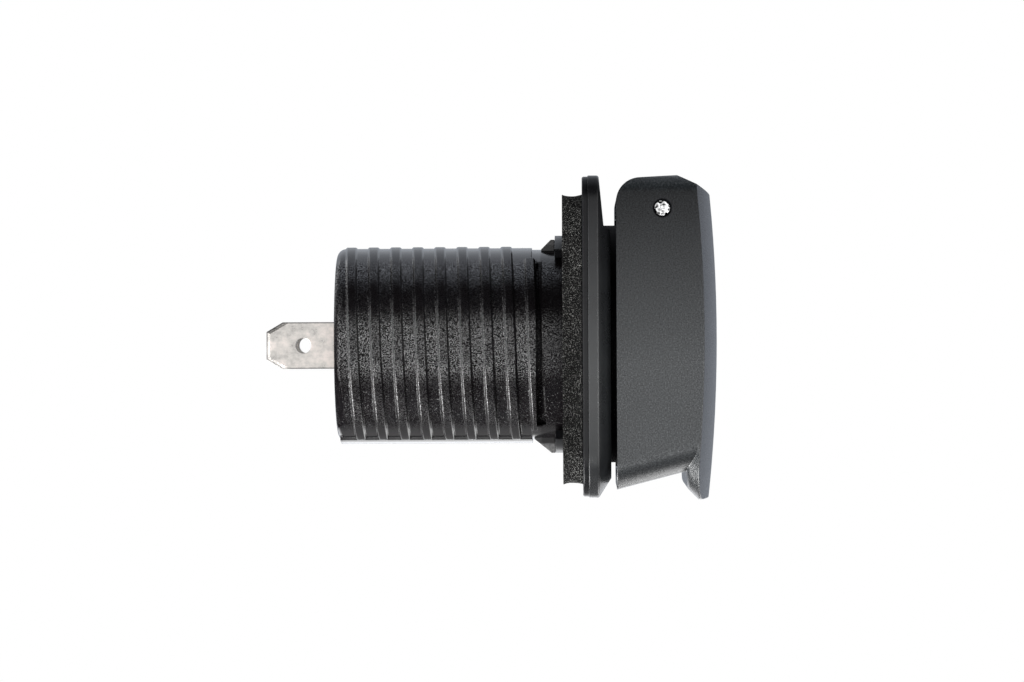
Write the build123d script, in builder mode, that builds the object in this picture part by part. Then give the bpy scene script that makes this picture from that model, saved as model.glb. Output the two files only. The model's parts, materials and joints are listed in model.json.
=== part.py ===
from build123d import *
import os
from math import asin, cos, floor, radians, sin, tan

os.makedirs("parts", exist_ok=True)

# Driving dimensions in millimetres
# X runs along the socket's axis towards the user, Z points up to the hinge,
# and X = 0 is the face of the panel that the gasket lies on.

# Flange: gasket, mounting plate and bezel
flange_width = 42.7
flange_top = 22.3
flange_bottom = 20.4
flange_top_corner = 3.5
flange_bottom_corner = 6.5
gasket_thickness = 2.63
gasket_side_inset = 2.05
gasket_top_inset = 2.4
gasket_bottom_inset = 1.7
plate_thickness = 0.76
plate_inset = 0.15
bezel_thickness = 2.99
bezel_edge = 1.34
bezel_slope_width = 2.6
hinge_step_height = 15.5
hinge_step_depth = 0.88
hinge_step_run = 0.5
bezel_top_fall = 0.65
bezel_edge_round = 0.3
bezel_rear_round = 0.12
plate_edge_round = 0.25

# Collar segments that stand behind the panel face
collar_wall = 1.35
collar_reach = 1.06
collar_half_angle = 30.0

# Threaded barrel
barrel_length = 30.6
barrel_wall = 1.8
barrel_end_round = 1.2
barrel_shoulder = 4.2
rear_wall = 2.6
neck_step = 0.24
thread_pitch = 3.0
thread_height = 0.36
thread_crest = 1.0
thread_base = 1.6
thread_flat_height = 0.15
thread_front = 3.95
thread_sink = 0.3
thread_end_margin = 1.0
thread_gap_half_angle = 30.0
key_width = 7.8
key_height = 0.3
key_rear_inset = 0.4
key_sink = 1.0
key_groove_width = 0.15
key_groove_depth = 0.1
relief_depth = 0.45
relief_bite = 0.1
relief_upper_width = 0.15
relief_lower_width = 1.15
relief_end_gap = 0.3

# Snap barbs on the neck
barb_width = 5.0
barb_flat = 0.5
upper_barb_height = 1.3
upper_barb_ramp = 1.3
lower_barb_height = 1.85
lower_barb_ramp = 2.3

# Front rim and hinge
rim_ledge = 3.0
rim_height = 3.6
rim_seat_depth = 0.98
hinge_reach = 4.25
hinge_rise = 1.8
pin_radius = 1.0
pin_recess = 0.1
pin_dome = 0.16
pin_dimple_radius = 0.25
pin_dimple_depth = 0.1
ear_inner = 6.0
ear_width = 3.0
ear_radius = 2.2
ear_foot_depth = 1.4
ear_foot_drop = 4.4
ear_foot_height = 1.5

# Lid
lid_half_width = 20.0
lid_wall = 1.8
lid_depth = 13.71
lid_top_fall = 0.45
lid_rear_round = 3.3
lid_top_corner = 2.6
lid_ridge_run = 8.08
lid_bevel_angle = 25.8
lid_bottom_rear = 19.3
lid_bottom_angle = 14.5
lid_bottom_corner = 3.6
lid_apex_z = 1.3
lid_dome_radius_z = 200.0
lid_dome_radius_y = 95.0
lip_depth = 4.5
lip_bottom = 20.7
lip_corner = 5.5
lip_slope = 1.6
lip_round = 1.2
hinge_notch_run = 0.95
hinge_notch_drop = 4.4
hinge_notch_round = 1.0
lid_boss_radius = 2.4
lid_boss_length = 3.4
lid_hole_chamfer = 0.12
lid_rear_lip = 0.7

# Lid seal and the ring that carries it
seal_overlap = 0.3
seal_thickness = 1.15
seal_bead = 0.25
seal_bead_width = 1.0
seal_ring_wall = 1.5

# Torsion spring
wire_radius = 0.35
wire_sides = 6
coil_radius = 1.6
coil_turns = 5
coil_pitch = 0.85
fixed_leg = 5.6
free_leg = 5.2
spring_rib_width = 1.6
spring_rib_height = 1.9

# Contacts and terminals
bore_radius = 10.55
shell_wall = 0.7
shell_step = 0.35
shell_flare = 0.85
shell_base_hole = 7.0
bore_mouth_round = 0.3
disc_thickness = 1.2
blade_width = 6.3
blade_thickness = 0.8
blade_spacing = 8.0
blade_exposed = 9.5
blade_tip_chamfer = 2.2
blade_tip_width = 3.7
blade_hole_radius = 1.05
blade_hole_setback = 5.0
blade_bend = 0.5
blade_coin_width = 0.5
blade_coin_depth = 0.2
positive_foot_end = 2.6
negative_foot_margin = 0.2
contact_radius = 4.2
contact_base = 0.6
contact_boss_radius = 2.6
contact_boss = 1.3
rivet_radius = 1.2
rivet_head_radius = 1.9
rivet_head = 0.6
ground_rivet_radius = 0.9
ground_head_radius = 1.4

# Clearances
neck_clearance = 0.1
rim_clearance = 0.15
collar_gap = 0.54
collar_gasket_gap = 0.25
barb_gap = 0.05
shell_clearance = 0.05
pin_seat_gap = 0.02
pin_running_gap = 0.06
ear_gap = 0.6
seal_gap = 0.12
lid_gap = 0.76
leg_gap = 0.05
rivet_gap = 0.1
pocket_gap = 0.3
slot_gap = 0.15
rear_clear = 0.25

# Places that follow from the sizes above
plate_rear = gasket_thickness
bezel_rear = plate_rear + plate_thickness
bezel_front = bezel_rear + bezel_thickness
rim_rear = bezel_front - rim_seat_depth
rim_front = rim_rear + rim_height
barrel_rear = -barrel_length
cavity_rear = barrel_rear + rear_wall
shell_outer = bore_radius + shell_wall
cavity_radius = shell_outer + shell_clearance
flare_radius = shell_outer + shell_flare
barrel_radius = cavity_radius + barrel_wall
neck_radius = barrel_radius - neck_step
neck_hole = neck_radius + neck_clearance
rim_radius = barrel_radius + rim_ledge
collar_radius = neck_radius + collar_gap + collar_wall
thread_flat = barrel_radius + thread_flat_height
flare_rear = rim_front - shell_wall
base_rear = cavity_rear + blade_thickness
base_front = base_rear + shell_wall
disc_front = base_front + disc_thickness
contact_front = disc_front + contact_base + contact_boss
stack_front = contact_front + rivet_head
bore_rear = stack_front + rear_clear
blade_tip = barrel_rear - blade_exposed
positive_y = -blade_spacing / 2
negative_y = blade_spacing / 2
ground_rivet_y = (shell_base_hole + bore_radius - shell_step) / 2
thread_radius = barrel_radius + thread_height
thread_space = barrel_length - thread_end_margin - thread_base / 2 - thread_front - thread_pitch / 4
neck_rear = -thread_front + thread_crest / 2
thread_turns = floor(thread_space / thread_pitch)
thread_start = -thread_front - thread_pitch / 4 - thread_turns * thread_pitch
negative_foot_end = ground_rivet_y + ground_head_radius + negative_foot_margin
hinge_x = rim_front + hinge_reach
hinge_z = rim_radius + hinge_rise
ear_foot_low = rim_radius - ear_foot_drop
ear_foot_high = ear_foot_low + ear_foot_height
ear_outer = ear_inner + ear_width
notch_half_width = ear_outer + ear_gap
lid_rear = bezel_front + lid_gap
lid_top = flange_top
notch_floor = hinge_z - hinge_notch_drop
relief_reach = neck_radius * cos(radians(thread_gap_half_angle)) - relief_end_gap
lid_ridge_x = lid_rear + lid_ridge_run
lid_apex_x = lid_rear + lid_depth
lid_inner_half_width = lid_half_width - lid_wall
lip_rear = lid_apex_x - lip_depth
hinge_notch_front = hinge_x + hinge_notch_run
seal_radius = flare_radius + seal_overlap
seal_face = rim_front + seal_gap
seal_back = seal_face + seal_bead + seal_thickness
coil_length = (coil_turns + 0.75) * coil_pitch
free_leg_rear = hinge_x - coil_radius - wire_radius
boundless = 4 * flange_width
cut_margin = 1.0
tight = 1e-4


def draw_polygon(points, mode=Mode.ADD):
    """Draw a closed outline with straight sides."""
    Polygon(*points, align=None, mode=mode)


def draw_plate(half_width, top, bottom, top_corner, bottom_corner):
    """Draw a plate seen along the socket's axis, with one corner radius above and one below."""
    draw_polygon([(-half_width, -bottom), (half_width, -bottom), (half_width, top), (-half_width, top)])
    fillet(vertices().group_by(Axis.Y)[-1], top_corner)
    fillet(vertices().group_by(Axis.Y)[0], bottom_corner)


def draw_opposite_sectors(inner, outer, half_angle, first_angle, mode=Mode.ADD):
    """Draw two sectors on opposite sides of the axis, the first one at first_angle from Y."""
    slope = tan(radians(half_angle))
    with PolarLocations(0, 2, start_angle=first_angle):
        draw_polygon(
            [
                (inner, inner * slope),
                (outer, outer * slope),
                (outer, -outer * slope),
                (inner, -inner * slope),
            ],
            mode,
        )


def draw_barb(height, ramp, side):
    """Draw a snap barb that rises from the neck towards the collar, above or below the axis."""
    front = -collar_reach - barb_gap
    root = side * (neck_radius - barb_flat)
    tip = side * (neck_radius + height)
    draw_polygon(
        [
            (front, root),
            (front, tip),
            (front - barb_flat, tip),
            (front - barb_flat - ramp, side * neck_radius),
            (front - barb_flat - ramp, root),
        ]
    )


def draw_lid_side(inset, rear, front):
    """Draw the lid's side profile, moved inwards by inset, between two X positions."""
    top = lid_top - inset
    bevel_slope = tan(radians(lid_bevel_angle))
    bevel_inset = inset / cos(radians(lid_bevel_angle))
    ridge_x = lid_ridge_x - (bevel_inset - inset) / bevel_slope
    bevel_end = top - (front - ridge_x) * bevel_slope
    floor_slope = tan(radians(lid_bottom_angle))
    floor_rear = -lid_bottom_rear + inset / cos(radians(lid_bottom_angle))
    draw_polygon(
        [
            (rear, floor_rear + (rear - lid_rear) * floor_slope),
            (rear, top - lid_top_fall),
            (ridge_x, top),
            (front, bevel_end),
            (front, floor_rear + (front - lid_rear) * floor_slope),
        ]
    )
    rear_corner = vertices().sort_by_distance((rear, top - lid_top_fall))[0]
    fillet(rear_corner, lid_rear_round - inset)


def draw_dome(inset):
    """Draw half of the dome's section, between its axis and an arc that bulges towards the user."""
    apex = lid_apex_x - inset
    reach = 2 * (lid_top + lip_bottom)
    with Locations((apex - lid_dome_radius_z, lid_apex_z)):
        Circle(lid_dome_radius_z)
    with Locations((lid_apex_x - lid_dome_radius_y / 2, lid_apex_z)):
        Rectangle(lid_dome_radius_y, reach, mode=Mode.INTERSECT)


dome_axis = Axis((lid_apex_x - lid_dome_radius_y, 0, 0), (0, 0, 1))

# Foam gasket
with BuildPart() as foam_gasket:
    with BuildSketch(Plane.YZ):
        draw_plate(
            flange_width / 2 - gasket_side_inset,
            flange_top - gasket_top_inset,
            flange_bottom - gasket_bottom_inset,
            flange_top_corner - gasket_side_inset / 2,
            flange_bottom_corner - gasket_side_inset,
        )
        Circle(collar_radius + collar_gasket_gap, mode=Mode.SUBTRACT)
    extrude(amount=gasket_thickness)

# Mounting plate with the two collar segments
with BuildPart() as mounting_plate:
    with BuildSketch(Plane.YZ.offset(plate_rear)):
        draw_plate(
            flange_width / 2 - plate_inset,
            flange_top - plate_inset,
            flange_bottom - plate_inset,
            flange_top_corner - plate_inset,
            flange_bottom_corner - plate_inset,
        )
        Circle(neck_hole, mode=Mode.SUBTRACT)
    extrude(amount=plate_thickness)
    plate_back = mounting_plate.faces().sort_by(Axis.X)[0]
    fillet(plate_back.outer_wire().edges(), plate_edge_round)
    with BuildSketch(Plane.YZ.offset(-collar_reach)):
        Circle(collar_radius)
        Circle(collar_radius - collar_wall, mode=Mode.SUBTRACT)
        draw_opposite_sectors(
            collar_wall, boundless, 90 - collar_half_angle, 0, mode=Mode.SUBTRACT
        )
    extrude(amount=collar_reach + plate_rear)

# Front bezel
with BuildPart() as front_bezel:
    with BuildSketch(Plane.YZ.offset(bezel_rear)):
        draw_plate(
            flange_width / 2, flange_top, flange_bottom, flange_top_corner, flange_bottom_corner
        )
    extrude(amount=bezel_thickness)
    bezel_face = front_bezel.faces().sort_by(Axis.X)[-1]
    chamfer(
        bezel_face.edges(),
        length=bezel_slope_width,
        length2=bezel_thickness - bezel_edge,
        reference=bezel_face,
    )
    slope_rear = bezel_rear + bezel_edge
    slope_edges = front_bezel.edges().filter_by(lambda e: abs(e.center().X - slope_rear) < tight)
    fillet(slope_edges, bezel_edge_round)
    fillet(front_bezel.faces().sort_by(Axis.X)[0].edges(), bezel_rear_round)
    with BuildSketch(Plane.XZ):
        step_x = bezel_front - hinge_step_depth
        draw_polygon(
            [
                (bezel_front + cut_margin, hinge_step_height - 2 * hinge_step_run),
                (bezel_front, hinge_step_height - hinge_step_run),
                (step_x, hinge_step_height),
                (step_x - bezel_top_fall, flange_top),
                (bezel_front + cut_margin, flange_top + cut_margin),
            ]
        )
    extrude(amount=flange_width, both=True, mode=Mode.SUBTRACT)
    with BuildSketch(Plane.YZ.offset(rim_rear)):
        Circle(rim_radius + rim_clearance)
    extrude(amount=boundless, mode=Mode.SUBTRACT)
    with BuildSketch(Plane.YZ.offset(bezel_rear)):
        Circle(neck_hole)
    extrude(amount=boundless, mode=Mode.SUBTRACT)

# Relief in the neck in front of the last rib, wider below than above
with BuildPart() as neck_relief:
    with BuildSketch(Plane.XZ):
        draw_polygon(
            [
                (neck_rear - relief_bite, relief_reach),
                (neck_rear + relief_upper_width, relief_reach),
                (neck_rear + relief_lower_width, -relief_reach),
                (neck_rear - relief_bite, -relief_reach),
            ]
        )
    extrude(amount=boundless, both=True)
    with BuildSketch(Plane.YZ):
        Circle(neck_radius - relief_depth)
    extrude(amount=boundless, both=True, mode=Mode.SUBTRACT)

# Socket body: barrel, neck, rim, barbs and hinge ears
with BuildPart() as socket_body:
    with BuildSketch(Plane.XY):
        draw_polygon(
            [
                (barrel_rear, 0),
                (barrel_rear, barrel_radius),
                (rim_rear, barrel_radius),
                (rim_rear, rim_radius),
                (rim_front, rim_radius),
                (rim_front, flare_radius + shell_clearance),
                (flare_rear, flare_radius + shell_clearance),
                (flare_rear, cavity_radius),
                (cavity_rear, cavity_radius),
                (cavity_rear, 0),
            ]
        )
        barrel_corner = vertices().sort_by_distance((barrel_rear, barrel_radius))[0]
        fillet(barrel_corner, barrel_end_round)
    revolve(axis=Axis.X)
    with BuildLine() as thread_path:
        Helix(
            thread_pitch,
            (thread_turns + 0.5) * thread_pitch,
            barrel_radius,
            center=(thread_start, 0, 0),
            direction=(1, 0, 0),
        )
    with BuildSketch(Plane.XZ):
        sunk_half = thread_base / 2 + thread_sink * (thread_base - thread_crest) / 2 / thread_height
        draw_polygon(
            [
                (thread_start - sunk_half, barrel_radius - thread_sink),
                (thread_start + sunk_half, barrel_radius - thread_sink),
                (thread_start + thread_crest / 2, thread_radius),
                (thread_start - thread_crest / 2, thread_radius),
            ]
        )
    sweep(path=thread_path.line, is_frenet=True)
    with BuildSketch(Plane.YZ.offset(barrel_rear)):
        Circle(2 * thread_radius)
        Rectangle(boundless, 2 * thread_flat, mode=Mode.SUBTRACT)
    extrude(amount=barrel_length, mode=Mode.SUBTRACT)
    with BuildSketch(Plane.YZ.offset(-thread_front - thread_pitch / 2)):
        draw_opposite_sectors(barrel_radius / 2, 2 * thread_radius, thread_gap_half_angle, 90)
        Circle(barrel_radius, mode=Mode.SUBTRACT)
    extrude(amount=thread_pitch, mode=Mode.SUBTRACT)
    with BuildSketch(Plane.YZ.offset(-barrel_shoulder)):
        draw_opposite_sectors(barrel_radius / 2, 2 * thread_radius, thread_gap_half_angle, 90)
        Circle(neck_radius, mode=Mode.SUBTRACT)
    extrude(amount=barrel_shoulder, mode=Mode.SUBTRACT)
    with BuildSketch(Plane.YZ.offset(neck_rear)):
        Circle(2 * thread_radius)
        Circle(neck_radius, mode=Mode.SUBTRACT)
    extrude(amount=rim_rear - neck_rear, mode=Mode.SUBTRACT)
    with BuildSketch(Plane.YZ.offset(barrel_rear - cut_margin)):
        with Locations((0, -1.5 * barrel_radius)):
            Rectangle(key_width + 2 * key_groove_width, 2 * barrel_radius)
        Circle(barrel_radius - key_groove_depth, mode=Mode.SUBTRACT)
    extrude(amount=cut_margin + barrel_length - barrel_shoulder, mode=Mode.SUBTRACT)
    with BuildSketch(Plane.YZ.offset(barrel_rear + key_rear_inset)):
        Circle(barrel_radius + key_height)
        with Locations((0, -barrel_radius)):
            Rectangle(key_width, 2 * key_sink, mode=Mode.INTERSECT)
    extrude(amount=barrel_length - key_rear_inset - barrel_shoulder)
    add(neck_relief.part, mode=Mode.SUBTRACT)
    with BuildSketch(Plane.XZ):
        draw_barb(upper_barb_height, upper_barb_ramp, 1)
        draw_barb(lower_barb_height, lower_barb_ramp, -1)
    extrude(amount=barb_width / 2, both=True)
    for ear_side in (-ear_outer, ear_inner):
        with BuildSketch(Plane.XZ.offset(ear_side)):
            with Locations((hinge_x, hinge_z)):
                Circle(ear_radius)
            draw_polygon(
                [
                    (rim_front - ear_foot_depth, ear_foot_low),
                    (rim_front - ear_foot_depth, ear_foot_high),
                    (rim_front, ear_foot_high),
                    (rim_front, ear_foot_low),
                ]
            )
            make_hull()
        extrude(amount=ear_width)
    with BuildSketch(Plane.XZ):
        with Locations((hinge_x, hinge_z)):
            Circle(pin_radius + pin_seat_gap)
    extrude(amount=ear_outer + cut_margin, both=True, mode=Mode.SUBTRACT)
    with BuildSketch(Plane.YZ.offset(barrel_rear)):
        with Locations((positive_y, 0), (negative_y, 0)):
            Rectangle(blade_thickness + 2 * slot_gap, blade_width + 2 * slot_gap)
    extrude(amount=rear_wall, mode=Mode.SUBTRACT)
    with BuildSketch(Plane.YZ.offset(cavity_rear - rivet_head - rivet_gap)):
        Circle(rivet_head_radius + pocket_gap)
        with Locations((ground_rivet_y, 0)):
            Circle(ground_head_radius + pocket_gap)
    extrude(amount=rivet_head + rivet_gap, mode=Mode.SUBTRACT)

# Finger plate: the lid's front, with the lip below it
with BuildPart() as finger_plate:
    with BuildSketch(Plane.YZ.offset(lip_rear)):
        draw_plate(lid_half_width, notch_floor, lip_bottom, lid_wall, lip_corner)
    extrude(amount=2 * (lid_apex_x - lip_rear))
    lip_face = finger_plate.faces().sort_by(Axis.X)[0]
    chamfer(lip_face.edges().sort_by(Axis.Z)[0], lip_slope)
    lip_face = finger_plate.faces().sort_by(Axis.X)[0]
    fillet(lip_face.edges().sort_by(Axis.Z)[0], lip_round)

# Hollow of the lid, with a floor that follows the dome
with BuildPart() as lid_hollow:
    with BuildSketch(Plane.XZ):
        draw_lid_side(lid_wall, lid_rear + lid_wall, 2 * lid_apex_x)
        draw_polygon(
            [
                (lid_rear - cut_margin, hinge_z - lid_rear_lip),
                (lid_rear + 2 * lid_wall, hinge_z - lid_rear_lip),
                (lid_rear + 2 * lid_wall, -lid_bottom_rear + 2 * lid_wall),
                (lid_rear - cut_margin, -lid_bottom_rear + lid_wall),
            ]
        )
    extrude(amount=lid_inner_half_width, both=True)
    with BuildSketch(Plane.XZ):
        draw_dome(lid_wall)
    revolve(axis=dome_axis, mode=Mode.INTERSECT)

# Lid
with BuildPart() as lid:
    with BuildSketch(Plane.XZ):
        draw_lid_side(0, lid_rear, 2 * lid_apex_x)
    extrude(amount=lid_half_width, both=True)
    floor_face = lid.faces().sort_by(Axis.Z)[0]
    floor_edges = floor_face.edges().filter_by(Plane.XZ)
    fillet(floor_edges, lid_bottom_corner)
    with BuildSketch(Plane.YZ):
        draw_plate(
            lid_half_width, lid_top, 2 * lip_bottom, lid_top_corner, lid_top_corner
        )
    extrude(amount=boundless, mode=Mode.INTERSECT)
    add(finger_plate.part)
    with BuildSketch(Plane.XZ):
        draw_dome(0)
    revolve(axis=dome_axis, mode=Mode.INTERSECT)
    add(lid_hollow.part, mode=Mode.SUBTRACT)
    with BuildSketch(Plane.XY.offset(notch_floor)):
        notch_depth = hinge_notch_front - lid_rear
        with Locations((lid_rear, 0)):
            Rectangle(2 * notch_depth, 2 * notch_half_width)
        fillet(vertices(), hinge_notch_round)
    extrude(amount=lid_top - notch_floor + cut_margin, mode=Mode.SUBTRACT)
    with BuildSketch(Plane.YZ.offset(seal_back)):
        Circle(seal_radius)
        Circle(seal_radius - seal_ring_wall, mode=Mode.SUBTRACT)
    ring_sag = seal_radius**2 / (2 * lid_dome_radius_y)
    extrude(amount=lid_apex_x - lid_wall / 2 - ring_sag - seal_back)
    with BuildSketch(Plane.XZ.offset(coil_length / 2 - spring_rib_width / 2)):
        draw_polygon(
            [
                (free_leg_rear - leg_gap, seal_radius - seal_ring_wall),
                (free_leg_rear - leg_gap, seal_radius + spring_rib_height),
                (seal_back, seal_radius + spring_rib_height),
                (seal_back, seal_radius - seal_ring_wall),
            ]
        )
    extrude(amount=spring_rib_width)
    for boss_side in (-lid_half_width + lid_wall / 2, lid_inner_half_width - lid_boss_length):
        with BuildSketch(Plane.XZ.offset(boss_side)):
            with Locations((hinge_x, hinge_z)):
                Circle(lid_boss_radius)
        extrude(amount=lid_boss_length + lid_wall / 2)
    with BuildSketch(Plane.XZ):
        with Locations((hinge_x, hinge_z)):
            Circle(pin_radius + pin_running_gap)
    extrude(amount=lid_half_width, both=True, mode=Mode.SUBTRACT)
    hole_edges = lid.edges().filter_by(GeomType.CIRCLE)
    mouth_edges = hole_edges.filter_by(lambda e: abs(e.radius - pin_radius - pin_running_gap) < tight)
    outer_mouths = mouth_edges.filter_by(lambda e: abs(e.center().Y) > lid_half_width - lid_wall / 2)
    chamfer(outer_mouths, lid_hole_chamfer)

# Lid seal
with BuildPart() as lid_seal:
    with BuildSketch(Plane.XZ):
        bead_inner = seal_radius - seal_bead_width
        draw_polygon(
            [
                (seal_back, 0),
                (seal_back, seal_radius),
                (seal_face, seal_radius),
                (seal_face, bead_inner),
                (seal_face + seal_bead, bead_inner),
                (seal_face + seal_bead, 0),
            ]
        )
    revolve(axis=Axis.X)

# Hinge pin
with BuildPart() as hinge_pin:
    pin_end = lid_half_width - pin_recess
    with BuildSketch(Plane(origin=(hinge_x, 0, hinge_z), x_dir=(0, 1, 0), z_dir=(1, 0, 0))):
        with BuildLine():
            Polyline(
                (0, 0),
                (pin_end - pin_dimple_depth, 0),
                (pin_end, pin_dimple_radius),
            )
            ThreePointArc(
                (pin_end, pin_dimple_radius),
                (pin_end - pin_dome / 4, (pin_radius + pin_dimple_radius) / 2),
                (pin_end - pin_dome, pin_radius),
            )
            Polyline((pin_end - pin_dome, pin_radius), (0, pin_radius), (0, 0))
        make_face()
        mirror(about=Plane.YZ)
    revolve(axis=Axis((hinge_x, 0, hinge_z), (0, 1, 0)))

# Torsion spring with one leg on the rim and one against the lid's rib
spring_axis = Axis((hinge_x, 0, hinge_z), (0, 1, 0))
with BuildLine(mode=Mode.PRIVATE) as coil_line:
    Helix(
        coil_pitch,
        coil_length,
        coil_radius,
        center=(hinge_x, -coil_length / 2, hinge_z),
        direction=(0, 1, 0),
    )
coil = coil_line.line.rotate(spring_axis, -90)
with BuildPart() as lid_spring:
    with BuildSketch(Plane(coil @ 0, z_dir=coil % 0)):
        RegularPolygon(wire_radius, wire_sides, major_radius=False)
    sweep(path=coil, is_frenet=True)
    with BuildSketch(Plane(coil @ 0, z_dir=coil % 0)):
        RegularPolygon(wire_radius, wire_sides, major_radius=False)
    extrude(amount=-free_leg)
    with BuildSketch(Plane(coil @ 1, z_dir=coil % 1)):
        RegularPolygon(wire_radius, wire_sides, major_radius=False)
    extrude(amount=fixed_leg)

# Contact shell
with BuildPart() as contact_shell:
    with BuildSketch(Plane.XZ):
        rear_inner = bore_radius - shell_step
        rear_outer = shell_outer - shell_step
        draw_polygon(
            [
                (rim_front, bore_radius),
                (rim_front, flare_radius),
                (flare_rear, flare_radius),
                (flare_rear, shell_outer),
                (bore_rear - shell_step, shell_outer),
                (bore_rear - 2 * shell_step, rear_outer),
                (base_rear, rear_outer),
                (base_rear, shell_base_hole),
                (base_front, shell_base_hole),
                (base_front, rear_inner),
                (bore_rear - shell_step, rear_inner),
                (bore_rear, bore_radius),
            ]
        )
        fillet(vertices().sort_by_distance((rim_front, bore_radius))[0], bore_mouth_round)
    revolve(axis=Axis.X)
    with BuildSketch(Plane.YZ.offset(base_rear)):
        with Locations((ground_rivet_y, 0)):
            Circle(ground_rivet_radius)
    extrude(amount=shell_wall, mode=Mode.SUBTRACT)

# Insulating disc
with BuildPart() as insulating_disc:
    with BuildSketch(Plane.YZ.offset(base_front)):
        Circle(bore_radius - shell_step - shell_clearance)
        Circle(rivet_radius, mode=Mode.SUBTRACT)
        with Locations((ground_rivet_y, 0)):
            Circle(ground_head_radius + pocket_gap, mode=Mode.SUBTRACT)
        with Locations((ground_rivet_y + ground_head_radius + pocket_gap, 0)):
            Rectangle(
                2 * (ground_head_radius + pocket_gap),
                2 * (ground_head_radius + pocket_gap),
                mode=Mode.SUBTRACT,
            )
    extrude(amount=disc_thickness)

# Centre contact
with BuildPart() as centre_contact:
    with BuildSketch(Plane.XZ):
        draw_polygon(
            [
                (disc_front, rivet_radius),
                (disc_front, contact_radius),
                (disc_front + contact_base, contact_radius),
                (disc_front + contact_base, contact_boss_radius),
                (contact_front, contact_boss_radius - contact_base),
                (contact_front, rivet_radius),
            ]
        )
    revolve(axis=Axis.X)

# Rivet through the centre contact
with BuildPart() as contact_rivet:
    with BuildSketch(Plane.XZ):
        foot_rear = base_front - blade_thickness
        with BuildLine():
            Polyline(
                (stack_front, 0),
                (foot_rear - rivet_head, 0),
                (foot_rear - rivet_head, rivet_head_radius),
                (foot_rear, rivet_head_radius),
                (foot_rear, rivet_radius),
                (contact_front, rivet_radius),
                (contact_front, rivet_head_radius),
            )
            head_curve = (rivet_head_radius**2 + rivet_head**2) / (2 * rivet_head)
            head_angle = asin(rivet_head_radius / head_curve) / 2
            ThreePointArc(
                (contact_front, rivet_head_radius),
                (stack_front - head_curve * (1 - cos(head_angle)), head_curve * sin(head_angle)),
                (stack_front, 0),
            )
        make_face()
    revolve(axis=Axis.X)

# Rivet that joins the negative blade to the shell's base
with BuildPart() as ground_rivet:
    with BuildSketch(Plane.YZ.offset(cavity_rear - rivet_head)):
        with Locations((ground_rivet_y, 0)):
            Circle(ground_head_radius)
    extrude(amount=rivet_head)
    with BuildSketch(Plane.YZ.offset(cavity_rear)):
        with Locations((ground_rivet_y, 0)):
            Circle(ground_rivet_radius)
    extrude(amount=base_front - cavity_rear)
    with BuildSketch(Plane.YZ.offset(base_front)):
        with Locations((ground_rivet_y, 0)):
            Circle(ground_head_radius)
    extrude(amount=rivet_head)


def make_blade(blade_y, foot_end, foot_front, rivet_y, hole_radius):
    """Make a terminal bent from strip: a foot across the axis and a tab that leaves to the rear."""
    towards = 1 if rivet_y > blade_y else -1
    outer_y = blade_y - towards * blade_thickness / 2
    inner_y = blade_y + towards * blade_thickness / 2
    foot_rear = foot_front - blade_thickness
    with BuildPart() as blade:
        with BuildSketch(Plane.XY):
            draw_polygon(
                [
                    (blade_tip, outer_y),
                    (foot_front, outer_y),
                    (foot_front, foot_end),
                    (foot_rear, foot_end),
                    (foot_rear, inner_y),
                    (blade_tip, inner_y),
                ]
            )
            fillet(vertices().sort_by_distance((foot_front, outer_y))[0], blade_bend)
        extrude(amount=blade_width / 2, both=True)
        with BuildSketch(Plane.XZ):
            draw_polygon(
                [
                    (foot_front, blade_width / 2),
                    (blade_tip + blade_tip_chamfer, blade_width / 2),
                    (blade_tip, blade_tip_width / 2),
                    (blade_tip, -blade_tip_width / 2),
                    (blade_tip + blade_tip_chamfer, -blade_width / 2),
                    (foot_front, -blade_width / 2),
                ]
            )
        extrude(amount=boundless, both=True, mode=Mode.INTERSECT)
        for face_y in (outer_y, inner_y):
            broad_face = blade.faces().filter_by(Axis.Y).sort_by(
                lambda f: abs(f.center().Y - face_y)
            )[0]
            rim_edges = broad_face.edges().filter_by(
                lambda e: e.center().X < blade_tip + blade_tip_chamfer
            )
            chamfer(
                rim_edges, length=blade_coin_width, length2=blade_coin_depth, reference=broad_face
            )
        with BuildSketch(Plane.XZ):
            with Locations((blade_tip + blade_hole_setback, 0)):
                Circle(blade_hole_radius)
        extrude(amount=boundless, both=True, mode=Mode.SUBTRACT)
        with BuildSketch(Plane.YZ.offset(foot_rear)):
            with Locations((rivet_y, 0)):
                Circle(hole_radius)
        extrude(amount=blade_thickness, mode=Mode.SUBTRACT)
    return blade


positive_blade = make_blade(positive_y, positive_foot_end, base_front, 0, rivet_radius)
negative_blade = make_blade(
    negative_y, negative_foot_end, base_rear, ground_rivet_y, ground_rivet_radius
)

pieces = {
    "foam_gasket": foam_gasket,
    "mounting_plate": mounting_plate,
    "front_bezel": front_bezel,
    "socket_body": socket_body,
    "lid": lid,
    "lid_seal": lid_seal,
    "hinge_pin": hinge_pin,
    "lid_spring": lid_spring,
    "contact_shell": contact_shell,
    "insulating_disc": insulating_disc,
    "centre_contact": centre_contact,
    "contact_rivet": contact_rivet,
    "ground_rivet": ground_rivet,
    "positive_blade": positive_blade,
    "negative_blade": negative_blade,
}
for name, piece in pieces.items():
    piece.part.label = name
    export_step(piece.part, f"parts/{name}.step")
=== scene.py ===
import json
import math

import bpy
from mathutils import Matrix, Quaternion, Vector, noise


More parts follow.
